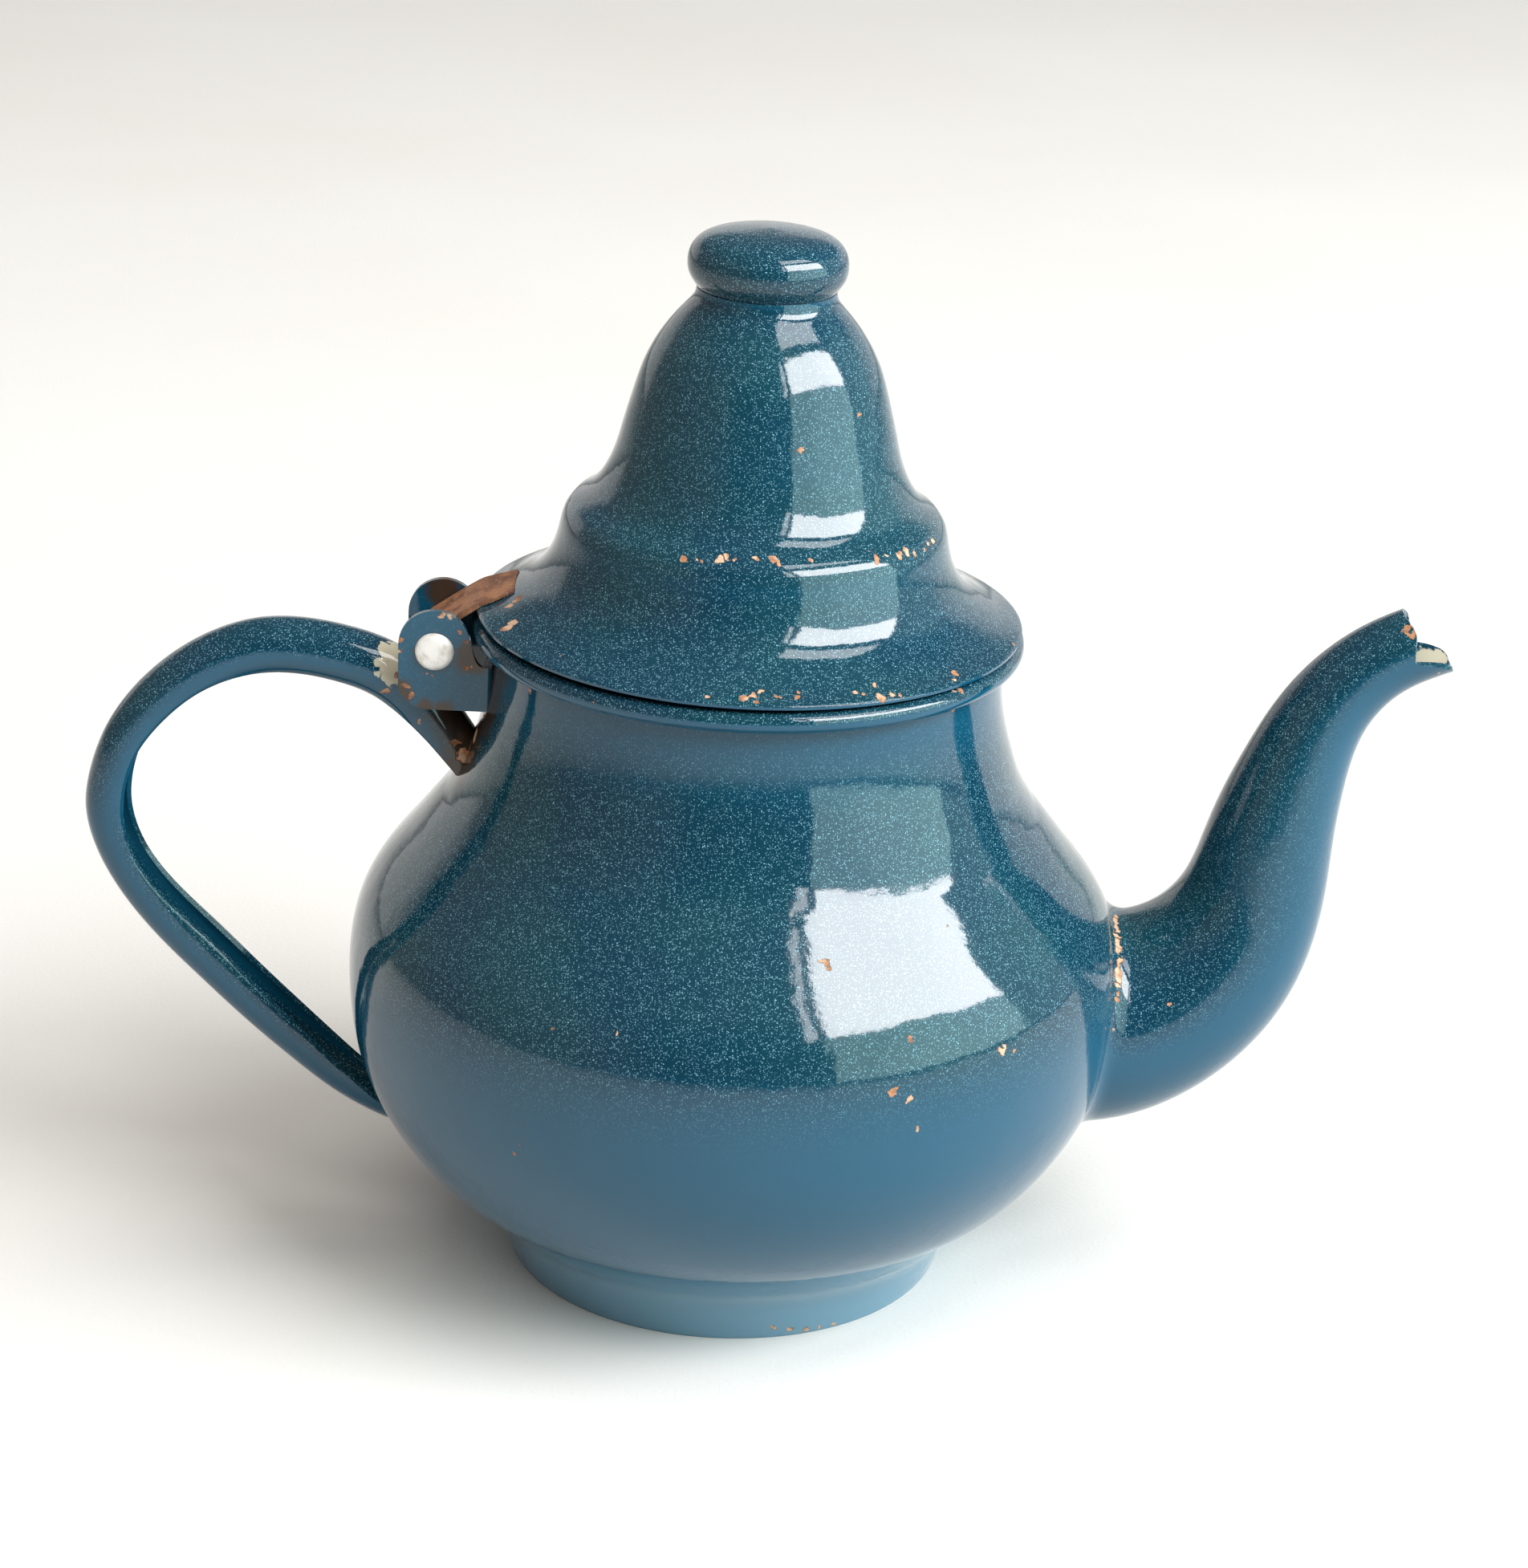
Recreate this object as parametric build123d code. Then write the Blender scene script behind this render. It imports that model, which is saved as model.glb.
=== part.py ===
from build123d import *
import math
import os

os.makedirs("parts", exist_ok=True)

# Enamelled sheet-steel teapot with a hinged lid.  Millimetres.
# Origin: centre of the foot ring on the plane it stands on.  +Z is up along the pot's axis,
# +X points to the spout, so the handle and the lid hinge are on the -X side.

# ---- driving dimensions -------------------------------------------------------------------
SHEET = 1.0                     # steel sheet with its enamel

# outer outline of the pot from the foot up, as (radius, height)
BELLY_OUTLINE = [
    (32.8, 0.0),
    (33.7, 3.0),
    (35.2, 6.8),
    (38.2, 10.4),
    (42.3, 14.0),
    (46.9, 18.0),
    (50.6, 22.5),
    (53.6, 27.5),
    (55.8, 33.0),
    (57.0, 39.0),
    (57.4, 45.0),
    (57.1, 50.5),
    (55.9, 55.5),
    (53.5, 60.2),
    (49.8, 65.2),
    (45.6, 70.2),
    (43.2, 72.8),
]
NECK_OUTLINE = [
    (43.2, 72.8),
    (41.3, 76.5),
    (39.4, 81.5),
    (38.0, 86.5),
    (37.2, 91.5),
    (37.0, 98.7),
]
RIM_ROLL = 1.5                  # radius of the rolled edge of the mouth
RIM_ROLL_CENTRE = (38.4, 98.7)

BASE_PLATE_TOP = 8.5            # pressed bottom, closed into the foot ring
BASE_FLANGE_LOW = 2.0

STRAINER_HOLE = 4.6
STRAINER_PITCH = 8.4
STRAINER_RINGS = 1
SPOUT_ROOT_Z = 40.5

# spout: centre line and outer radius, (x, z, radius)
SPOUT_SECTIONS = [
    (46.3, 40.8, 17.2),
    (55.5, 40.6, 16.2),
    (64.4, 43.8, 14.4),
    (71.9, 50.8, 12.5),
    (76.2, 60.0, 10.7),
    (78.2, 70.5, 9.35),
    (80.5, 80.2, 7.95),
    (84.8, 90.9, 6.45),
    (92.2, 98.7, 5.65),
    (100.9, 102.9, 5.5),
]
LIP_START = (95.8, 100.5)       # the upper half of the mouth ends above this point
LIP_TIP = (102.9, 97.2)         # the lower half runs on as a pouring lip below this line

PIN_X = -44.9                   # hinge pin, parallel to Y
PIN_Z = 95.8
PIN_RADIUS = 1.5
PIN_CLEARANCE = 0.06
RIVET_HEAD_RADIUS = 2.8
RIVET_HEAD_HEIGHT = 0.9

EAR_OUTER = 7.75                # half width over the two ears
EAR_SHEET = 1.0
EAR_RADIUS = 5.2
EAR_TOP = 101.9
EAR_BOTTOM = 86.9
EAR_CORNER = 3.3
EAR_ARM_TOP = 94.0              # the arm to the neck stays below the rolled rim

HANDLE_HALF_WIDTH = 4.5
HANDLE_ROUND = 4.2              # half depth of the round back
HANDLE_DEPTH = 8.6
# crown line of the handle from the neck down to the belly, (x, z)
HANDLE_CROWN = [
    (-36.7, 77.0),
    (-40.0, 82.2),
    (-44.9, 89.0),
    (-51.3, 93.9),
    (-58.2, 96.2),
    (-65.2, 97.2),
    (-71.5, 96.8),
    (-78.3, 94.4),
    (-85.2, 89.8),
    (-90.3, 84.5),
    (-93.6, 79.4),
    (-96.0, 73.0),
    (-96.9, 67.0),
    (-95.7, 60.9),
    (-92.8, 54.8),
    (-86.6, 46.5),
    (-80.0, 39.7),
    (-73.5, 33.4),
    (-66.8, 27.5),
    (-59.9, 22.1),
    (-53.2, 18.4),
    (-49.3, 17.0),
    (-44.5, 16.2),
]
# its open edges are trimmed to this line, which runs out to a point on the belly, (x, z)
HANDLE_EDGE = [
    (-38.0, 71.5),
    (-42.5, 76.6),
    (-49.6, 83.5),
    (-57.3, 87.9),
    (-65.0, 89.6),
    (-72.9, 89.1),
    (-79.6, 86.2),
    (-85.2, 81.3),
    (-89.2, 75.6),
    (-90.9, 68.0),
    (-90.2, 62.2),
    (-87.4, 56.6),
    (-79.0, 47.8),
    (-72.5, 41.2),
    (-66.0, 34.6),
    (-59.3, 27.8),
    (-51.2, 20.7),
    (-46.0, 17.5),
]

# outer outline of the lid from the edge up, as (radius, height)
FLANGE_OUTLINE = [
    (39.4, 100.9),
    (38.7, 101.8),
    (36.5, 102.7),
    (34.4, 103.9),
    (32.5, 105.2),
    (30.4, 107.4),
    (28.8, 110.4),
    (27.9, 113.8),
    (27.1, 116.3),
    (26.2, 117.4),
]
DOME_OUTLINE = [
    (26.2, 117.4),
    (23.8, 119.2),
    (22.0, 121.7),
    (20.5, 125.2),
    (19.5, 129.0),
    (18.3, 133.5),
    (16.9, 138.0),
    (14.9, 142.0),
    (12.4, 145.5),
    (9.7, 148.6),
]
LID_TILT = 0.5                  # the lid stands a little high at the hinge side
SKIRT_OUTER = 34.6              # locating skirt inside the mouth
SKIRT_LOW = 95.5
SKIRT_TOP = 103.2

# knob: a flat hollow bun, (radius, height)
KNOB_OUTLINE = [
    (10.0, 148.7),
    (10.9, 150.2),
    (11.4, 152.2),
    (11.3, 154.1),
    (10.2, 156.0),
    (7.6, 157.4),
    (4.0, 157.7),
    (0.0, 157.4),
]

STRAP_WIDTH = 12.0
STRAP_SHEET = 1.0
STRAP_TOP_LINE = [(-39.3, 102.8), (-33.9, 105.4)]       # bend and end of the strap, upper face


# ---- helpers ------------------------------------------------------------------------------
def inset(points, depth):
    """The outline moved inwards along its normals; the outline runs upwards."""
    moved = []
    for i, (r, z) in enumerate(points):
        before = points[max(i - 1, 0)]
        after = points[min(i + 1, len(points) - 1)]
        dr = after[0] - before[0]
        dz = after[1] - before[1]
        length = math.hypot(dr, dz)
        moved.append((r - depth * dz / length, z + depth * dr / length))
    return moved


def face_xz(edges):
    """Closed edges drawn as (x, z) made into a face in the XZ plane."""
    return Plane.XZ * make_face(Curve() + edges)


def turned(edges):
    return revolve(face_xz(edges), Axis.Z, 360)


def turned_sheet(outlines, depth):
    """Wall of even thickness whose outer side follows the outlines, joined end to end."""
    inner = [inset(points, depth) for points in outlines]
    for lower, upper in zip(inner, inner[1:]):
        corner = ((lower[-1][0] + upper[0][0]) / 2, (lower[-1][1] + upper[0][1]) / 2)
        lower[-1] = corner
        upper[0] = corner
    # the lowest edge is cut level, so that a ring can stand on it
    inner[0][0] = (inner[0][0][0], outlines[0][0][1])
    edges = [Spline(*points) for points in outlines]
    edges += [Spline(*points) for points in inner]
    edges.append(Line(outlines[0][0], inner[0][0]))
    edges.append(Line(outlines[-1][-1], inner[-1][-1]))
    return turned(edges)


def turned_solid(outlines):
    """Everything inside the outlines, down to the height they start at."""
    low = outlines[0][0]
    high = outlines[-1][-1]
    edges = [Spline(*points) for points in outlines]
    edges.append(Line(high, (0, high[1])))
    edges.append(Line((0, high[1]), (0, low[1])))
    edges.append(Line((0, low[1]), low))
    return turned(edges)


def plate_xz(edges, half_width):
    """A flat piece drawn in the XZ plane, centred on it."""
    return extrude(face_xz(edges), amount=half_width, both=True)


def pin_bar(radius, half_length):
    """A round bar on the hinge axis."""
    return Pos(PIN_X, 0, PIN_Z) * Rot(90, 0, 0) * Cylinder(radius, 2 * half_length)


def save(shape, node):
    export_step(shape, "parts/" + node + ".step")


# ---- pot body -----------------------------------------------------------------------------
pot_outlines = [BELLY_OUTLINE, NECK_OUTLINE]
pot_solid = turned_solid(pot_outlines)
roll = Pos(0, 0, RIM_ROLL_CENTRE[1]) * Torus(RIM_ROLL_CENTRE[0], RIM_ROLL)
pot_wall = turned_sheet(pot_outlines, SHEET) + roll

# strainer: rings of holes pierced through the wall behind the spout
hole = Rot(0, 90, 0) * Cylinder(STRAINER_HOLE / 2, 20)
hole_places = [(0.0, 0.0)]
for ring in range(1, STRAINER_RINGS + 1):
    for k in range(6 * ring):
        angle = 2 * math.pi * k / (6 * ring)
        reach = ring * STRAINER_PITCH
        hole_places.append((reach * math.cos(angle), reach * math.sin(angle)))
body_shell = pot_wall
for across, up in hole_places:
    body_shell = body_shell - Pos(54, across, SPOUT_ROOT_Z + up) * hole
save(body_shell, "body_shell")

# pressed bottom: a disc with a turned-down flange that fills the foot ring from inside
inside_foot = turned_solid([inset(BELLY_OUTLINE, SHEET)])
base_blank = Cylinder(60, BASE_PLATE_TOP - BASE_FLANGE_LOW, align=(Align.CENTER, Align.CENTER, Align.MIN))
base_plug = inside_foot & (Pos(0, 0, BASE_FLANGE_LOW) * base_blank)
base_hollow = turned_solid([inset(BELLY_OUTLINE, 2 * SHEET)]) & (
    Pos(0, 0, BASE_PLATE_TOP - SHEET) * Cylinder(60, 30, align=(Align.CENTER, Align.CENTER, Align.MAX))
)
base_plate = base_plug - base_hollow
save(base_plate, "base_plate")

# ---- spout --------------------------------------------------------------------------------
def spout_tube(less):
    """Round tube along the spout's centre line, with every radius reduced by less."""
    path = Plane.XZ * Spline(*[(x, z) for x, z, radius in SPOUT_SECTIONS])
    rings = []
    for x, z, radius in SPOUT_SECTIONS:
        t = path.param_at_point(Vector(x, 0, z))
        section = Plane(origin=path @ t, x_dir=(0, 1, 0), z_dir=path % t)
        rings.append(section * Circle(radius - less))
    return sweep(rings, path=path, multisection=True)


spout = spout_tube(0) - spout_tube(SHEET) - pot_solid
far = 130
mouth_cut = [
    Line(LIP_START, LIP_TIP),
    Line(LIP_TIP, (far, LIP_TIP[1])),
    Line((far, LIP_TIP[1]), (far, far)),
    Line((far, far), (LIP_START[0], far)),
    Line((LIP_START[0], far), LIP_START),
]
spout = spout - plate_xz(mouth_cut, 20)
save(spout, "spout")

# ---- handle -------------------------------------------------------------------------------
crown = Plane.XZ * Spline(*HANDLE_CROWN)
start = crown @ 0
along = crown % 0
inward = Vector(0, 1, 0).cross(along)
if inward.Z > 0:
    inward = -inward
section_plane = Plane(origin=start, x_dir=(0, 1, 0), z_dir=along)
depth_sign = 1 if section_plane.y_dir.dot(inward) > 0 else -1
centre = Pos(0, depth_sign * HANDLE_ROUND)
strip = centre * Ellipse(HANDLE_HALF_WIDTH, HANDLE_ROUND)
strip = strip - centre * Ellipse(HANDLE_HALF_WIDTH - SHEET, HANDLE_ROUND - SHEET)
open_side = Pos(0, depth_sign * (HANDLE_DEPTH + 5)) * Rectangle(20, 10)
strip = strip - open_side
handle = sweep(section_plane * strip, path=crown)
handle = handle - pot_solid
loop_inside = [
    Spline(*HANDLE_EDGE),
    Line(HANDLE_EDGE[-1], (-20, HANDLE_EDGE[-1][1])),
    Line((-20, HANDLE_EDGE[-1][1]), (-20, HANDLE_EDGE[0][1])),
    Line((-20, HANDLE_EDGE[0][1]), HANDLE_EDGE[0]),
]
handle = handle - plate_xz(loop_inside, 10)
save(handle, "handle")

# ---- hinge bracket ------------------------------------------------------------------------
ear_arc_z = EAR_TOP - EAR_RADIUS
ear_left = PIN_X - EAR_RADIUS
ear_right = PIN_X + EAR_RADIUS
neck_reach = -30.0
ear_outline = [
    Line((ear_left + EAR_CORNER, EAR_BOTTOM), (neck_reach, EAR_BOTTOM)),
    Line((neck_reach, EAR_BOTTOM), (neck_reach, EAR_ARM_TOP)),
    Line((neck_reach, EAR_ARM_TOP), (ear_right, EAR_ARM_TOP)),
    Line((ear_right, EAR_ARM_TOP), (ear_right, ear_arc_z)),
    ThreePointArc((ear_right, ear_arc_z), (PIN_X, EAR_TOP), (ear_left, ear_arc_z)),
    Line((ear_left, ear_arc_z), (ear_left, EAR_BOTTOM + EAR_CORNER)),
    ThreePointArc(
        (ear_left, EAR_BOTTOM + EAR_CORNER),
        (ear_left + 0.29 * EAR_CORNER, EAR_BOTTOM + 0.29 * EAR_CORNER),
        (ear_left + EAR_CORNER, EAR_BOTTOM),
    ),
]
ears = plate_xz(ear_outline, EAR_OUTER) - Box(200, 2 * (EAR_OUTER - EAR_SHEET), 400)
web_face = turned_solid([inset(NECK_OUTLINE, -EAR_SHEET)])
web_height = EAR_ARM_TOP - EAR_BOTTOM
web_blank = Pos(-40, 0, (EAR_ARM_TOP + EAR_BOTTOM) / 2) * Box(20, 2 * EAR_OUTER, web_height)
hinge_bracket = ears + (web_face & web_blank)
hinge_bracket = hinge_bracket - pot_solid - roll - pin_bar(PIN_RADIUS, 20)
save(hinge_bracket, "hinge_bracket")

# ---- rivet: the shank is the hinge pin, one head formed on each side ----------------------
hinge_rivet = pin_bar(PIN_RADIUS, EAR_OUTER)
for side in (1, -1):
    head = Rot(-90 * side, 0, 0) * Cone(
        RIVET_HEAD_RADIUS,
        RIVET_HEAD_RADIUS - 0.6,
        RIVET_HEAD_HEIGHT,
        align=(Align.CENTER, Align.CENTER, Align.MIN),
    )
    hinge_rivet = hinge_rivet + Pos(PIN_X, side * EAR_OUTER, PIN_Z) * head
save(hinge_rivet, "hinge_rivet")

# ---- lid ----------------------------------------------------------------------------------
tilt = Pos(0, 0, FLANGE_OUTLINE[0][1]) * Rot(0, LID_TILT, 0) * Pos(0, 0, -FLANGE_OUTLINE[0][1])
lid_outlines = [FLANGE_OUTLINE, DOME_OUTLINE]
skirt = Pos(0, 0, SKIRT_LOW) * (
    Cylinder(SKIRT_OUTER, SKIRT_TOP - SKIRT_LOW, align=(Align.CENTER, Align.CENTER, Align.MIN))
    - Cylinder(SKIRT_OUTER - 0.8, SKIRT_TOP - SKIRT_LOW, align=(Align.CENTER, Align.CENTER, Align.MIN))
)
lid_solid = turned_solid(lid_outlines)
lid_shell = tilt * (turned_sheet(lid_outlines, SHEET) + skirt)
save(lid_shell, "lid_shell")

# knob: a closed hollow bun standing on the open top of the dome
knob_edges = [Spline(*KNOB_OUTLINE), Line(KNOB_OUTLINE[-1], (0, KNOB_OUTLINE[0][1]))]
knob_edges.append(Line((0, KNOB_OUTLINE[0][1]), KNOB_OUTLINE[0]))
knob_hollow_line = inset(KNOB_OUTLINE[:-1], SHEET)
knob_hollow_top = (0, knob_hollow_line[-1][1] - 0.1)
knob_hollow_line = knob_hollow_line + [knob_hollow_top]
knob_floor = KNOB_OUTLINE[0][1] - 0.5
hollow_edges = [Spline(*knob_hollow_line), Line(knob_hollow_top, (0, knob_floor))]
hollow_edges.append(Line((0, knob_floor), (knob_hollow_line[0][0], knob_floor)))
hollow_edges.append(Line((knob_hollow_line[0][0], knob_floor), knob_hollow_line[0]))
lid_knob = tilt * (turned(knob_edges) - turned(hollow_edges)) - lid_shell
save(lid_knob, "lid_knob")

# ---- strap: rolled round the pin, then bent to lie on the lid -----------------------------
eye_inner = PIN_RADIUS + PIN_CLEARANCE
eye_outer = eye_inner + STRAP_SHEET
bend = Vector(*STRAP_TOP_LINE[0])
end = Vector(*STRAP_TOP_LINE[1])
pin = Vector(PIN_X, PIN_Z)
# the leaf leaves the eye on the tangent from the bend
reach = (bend - pin).length
lift = math.degrees(math.asin(eye_outer / reach))
heading = math.degrees(math.atan2(bend.Y - pin.Y, bend.X - pin.X)) - lift
leaf = Vector(math.cos(math.radians(heading)), math.sin(math.radians(heading)))
leaf_up = Vector(-leaf.Y, leaf.X)
touch = pin + leaf_up * eye_outer
top_dir = (end - bend).normalized()
top_up = Vector(-top_dir.Y, top_dir.X)
bend_under = bend - (leaf_up + top_up).normalized() * STRAP_SHEET
end_under = end - top_up * STRAP_SHEET
touch_under = touch - leaf_up * STRAP_SHEET
strap_line = Polyline(
    (touch.X, touch.Y),
    (bend.X, bend.Y),
    (end.X, end.Y),
    (end_under.X, end_under.Y),
    (bend_under.X, bend_under.Y),
    (touch_under.X, touch_under.Y),
    (touch.X, touch.Y),
)
leaf_plate = plate_xz([strap_line], STRAP_WIDTH / 2)
strap = leaf_plate + pin_bar(eye_outer, STRAP_WIDTH / 2)
lid_hinge_strap = strap - pin_bar(eye_inner, 20) - tilt * lid_solid
save(lid_hinge_strap, "lid_hinge_strap")
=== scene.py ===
import math

import bpy
import numpy as np
from mathutils import Matrix, Vector


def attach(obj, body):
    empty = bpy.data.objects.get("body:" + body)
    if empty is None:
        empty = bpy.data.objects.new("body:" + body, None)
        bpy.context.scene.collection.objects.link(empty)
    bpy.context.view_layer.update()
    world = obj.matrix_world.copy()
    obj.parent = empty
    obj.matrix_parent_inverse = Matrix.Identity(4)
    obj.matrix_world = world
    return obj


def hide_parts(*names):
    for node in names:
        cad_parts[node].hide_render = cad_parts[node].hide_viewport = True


# Looks of the enamelled teapot.  Lengths are written in millimetres and turned into metres when
# a mesh is made.  The frame is the part's own: foot ring on z = 0, spout toward +X, hinge at -X.
MM = 0.001
SHEET = 1.0
ROUND_SEGMENTS = 256

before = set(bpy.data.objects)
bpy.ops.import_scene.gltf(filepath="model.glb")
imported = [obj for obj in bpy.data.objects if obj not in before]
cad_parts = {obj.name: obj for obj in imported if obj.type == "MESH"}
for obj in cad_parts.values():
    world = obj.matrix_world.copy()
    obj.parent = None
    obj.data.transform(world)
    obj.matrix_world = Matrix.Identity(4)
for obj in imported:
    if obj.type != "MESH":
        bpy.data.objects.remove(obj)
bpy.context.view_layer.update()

# ---- outlines -----------------------------------------------------------------------------
BELLY = [
    (32.9, 0.7), (33.7, 3.0), (35.2, 6.8), (38.2, 10.4), (42.3, 14.0), (46.9, 18.0),
    (50.6, 22.5), (53.6, 27.5), (55.8, 33.0), (57.0, 39.0), (57.4, 45.0), (57.1, 50.5),
    (55.9, 55.5), (53.4, 60.2), (49.5, 65.2), (45.55, 70.2), (43.45, 72.8),
]
NECK = [(43.45, 72.8), (41.3, 76.5), (39.4, 81.5), (38.0, 86.5), (37.2, 91.5), (37.0, 97.3)]
ROLL_CENTRE = (38.4, 98.7)
ROLL_RADIUS = 1.5
INNER_WALL_TOP = 98.3
INNER_WALL_LOW = 0.5
POT_WOBBLE = 0.06

FLANGE = [
    (38.9, 101.75), (36.5, 102.7), (34.4, 103.9), (32.5, 105.2), (30.4, 107.4),
    (28.8, 110.4), (27.9, 113.8), (27.1, 116.3), (26.2, 117.4),
]
DOME = [
    (26.2, 117.4), (23.8, 119.2), (22.0, 121.7), (20.5, 125.2), (19.5, 129.0),
    (18.3, 133.5), (16.9, 138.0), (14.9, 142.0), (12.4, 145.4), (10.9, 147.1), (10.1, 148.3),
    (9.9, 149.5),
]
KNOB = [
    (9.9, 149.6), (10.5, 150.4), (11.15, 151.6), (11.35, 153.0), (11.1, 154.5), (10.0, 156.1),
    (7.6, 157.2), (4.0, 157.75), (0.0, 158.0),
]
LID_TILT = 0.5
LID_TILT_HEIGHT = 100.9

SPOUT = [
    (46.3, 40.8, 17.2), (55.5, 40.6, 16.2), (64.4, 43.8, 14.4), (71.9, 50.8, 12.5),
    (76.2, 60.0, 10.7), (78.2, 70.5, 9.35), (80.5, 80.2, 7.95), (84.8, 90.9, 6.45),
    (92.2, 98.7, 5.65), (100.9, 102.9, 5.5),
]
HANDLE_CROWN = [
    (-36.7, 77.0), (-40.0, 82.2), (-44.9, 89.0), (-51.3, 93.9), (-58.2, 96.2),
    (-65.2, 97.2), (-71.5, 96.8), (-78.3, 94.4), (-85.2, 89.8), (-90.3, 84.5),
    (-93.6, 79.4), (-96.0, 73.0), (-96.9, 67.0), (-95.7, 60.9), (-92.8, 54.8),
    (-86.6, 46.5), (-80.0, 39.7), (-73.5, 33.4), (-66.8, 27.5), (-59.9, 22.1),
    (-53.2, 18.4), (-49.3, 17.0), (-44.5, 16.2),
]
HANDLE_EDGE = [
    (-38.0, 71.5), (-42.5, 76.6), (-49.6, 83.5), (-57.3, 87.9), (-65.0, 89.6),
    (-72.9, 89.1), (-79.6, 86.2), (-85.2, 81.3), (-89.2, 75.6), (-90.9, 68.0),
    (-90.2, 62.2), (-87.4, 56.6), (-79.0, 47.8), (-72.5, 41.2), (-66.0, 34.6),
    (-59.3, 27.8), (-51.2, 20.7), (-46.0, 17.5),
]
PIN = (-44.9, 95.8)
PIN_RADIUS = 1.5


# ---- numbers ------------------------------------------------------------------------------
def smooth(points, count):
    """Points spaced along a natural cubic spline through the given ones."""
    p = np.array(points, float)
    t = np.concatenate([[0], np.cumsum(np.hypot(*np.diff(p[:, :2], axis=0).T))])
    n = len(t)
    h = np.diff(t)
    a = np.eye(n)
    b = np.zeros((n, p.shape[1]))
    for i in range(1, n - 1):
        a[i, i - 1] = h[i - 1]
        a[i, i] = 2 * (h[i - 1] + h[i])
        a[i, i + 1] = h[i]
        b[i] = 6 * ((p[i + 1] - p[i]) / h[i] - (p[i] - p[i - 1]) / h[i - 1])
    m = np.linalg.solve(a, b)
    s = np.linspace(0, t[-1], count)
    k = np.clip(np.searchsorted(t, s, side="right") - 1, 0, n - 2)
    left = (t[k + 1] - s)[:, None]
    right = (s - t[k])[:, None]
    step = h[k][:, None]
    value = (m[k] * left**3 + m[k + 1] * right**3) / (6 * step)
    value += (p[k] / step - m[k] * step / 6) * left
    value += (p[k + 1] / step - m[k + 1] * step / 6) * right
    return value


def offset(points, depth):
    """The (radius, height) line moved to the left of its direction of travel."""
    p = np.array(points, float)
    d = np.gradient(p, axis=0)
    d /= np.linalg.norm(d, axis=1)[:, None]
    return p + depth * np.stack([-d[:, 1], d[:, 0]], 1)


def arc(centre, radius, start, stop, count):
    angle = np.radians(np.linspace(start, stop, count))
    return np.stack([centre[0] + radius * np.cos(angle), centre[1] + radius * np.sin(angle)], 1)


# ---- meshes -------------------------------------------------------------------------------
def mesh_object(name, verts, faces, flat_angle=40):
    data = bpy.data.meshes.new(name)
    data.from_pydata([tuple(MM * float(c) for c in v) for v in verts], [], faces)
    data.update()
    obj = bpy.data.objects.new(name, data)
    bpy.context.scene.collection.objects.link(obj)
    for other in bpy.context.selected_objects:
        other.select_set(False)
    bpy.context.view_layer.objects.active = obj
    obj.select_set(True)
    bpy.ops.object.mode_set(mode="EDIT")
    bpy.ops.mesh.select_all(action="SELECT")
    bpy.ops.mesh.normals_make_consistent(inside=False)
    bpy.ops.object.mode_set(mode="OBJECT")
    bpy.ops.object.shade_smooth_by_angle(angle=math.radians(flat_angle))
    return obj


def grid_faces(rows, columns, close_rows, close_columns):
    faces = []
    for i in range(rows if close_rows else rows - 1):
        for j in range(columns if close_columns else columns - 1):
            a = i * columns + j
            b = i * columns + (j + 1) % columns
            c = ((i + 1) % rows) * columns + (j + 1) % columns
            d = ((i + 1) % rows) * columns + j
            faces.append((a, b, c, d))
    return faces


def sheet_faces(columns, rows):
    """Faces of a bent sheet whose two sides are grids of points, one after the other."""
    one_side = grid_faces(columns, rows, False, False)
    shift = columns * rows
    faces = one_side + [tuple(shift + v for v in reversed(f)) for f in one_side]
    for i in range(columns - 1):
        for k in (0, rows - 1):
            a = i * rows + k
            b = (i + 1) * rows + k
            faces.append((a, b, shift + b, shift + a))
    for i in (0, columns - 1):
        for k in range(rows - 1):
            a = i * rows + k
            faces.append((a, a + 1, shift + a + 1, shift + a))
    return faces


def turned(name, loop, segments=224, wobble=0.0):
    """A closed (radius, height) loop turned about the pot's axis; wobble is hand-made unevenness."""
    verts = []
    for r, z in loop:
        for k in range(segments):
            a = 2 * math.pi * k / segments
            uneven = math.sin(2 * a + 0.7)
            uneven += 0.6 * math.sin(3 * a + z / 19)
            uneven += 0.35 * math.sin(5 * a - z / 11)
            q = r + wobble * uneven
            verts.append((q * math.cos(a), q * math.sin(a), z))
    return mesh_object(name, verts, grid_faces(len(loop), segments, True, True))


def turned_closed(name, loop, segments=160):
    """Like turned, for a loop whose first and last points lie on the axis."""
    verts = [(0, 0, loop[0][1])]
    faces = []
    inner = loop[1:-1]
    for r, z in inner:
        for k in range(segments):
            a = 2 * math.pi * k / segments
            verts.append((r * math.cos(a), r * math.sin(a), z))
    verts.append((0, 0, loop[-1][1]))
    last = len(verts) - 1
    top = 1 + (len(inner) - 1) * segments
    for k in range(segments):
        n = (k + 1) % segments
        faces.append((0, 1 + n, 1 + k))
        faces.append((last, top + k, top + n))
    for i in range(len(inner) - 1):
        for k in range(segments):
            n = (k + 1) % segments
            low = 1 + i * segments
            faces.append((low + k, low + n, low + segments + n, low + segments + k))
    return mesh_object(name, verts, faces)


def tilt_lid(obj):
    """The lid leans a little: it stands higher at the hinge side."""
    lift = Matrix.Translation((0, 0, LID_TILT_HEIGHT * MM))
    turn = Matrix.Rotation(math.radians(LID_TILT), 4, "Y")
    obj.data.transform(lift @ turn @ lift.inverted())


def apply_modifiers(obj):
    bpy.context.view_layer.objects.active = obj
    for modifier in list(obj.modifiers):
        bpy.ops.object.modifier_apply(modifier=modifier.name)


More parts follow.
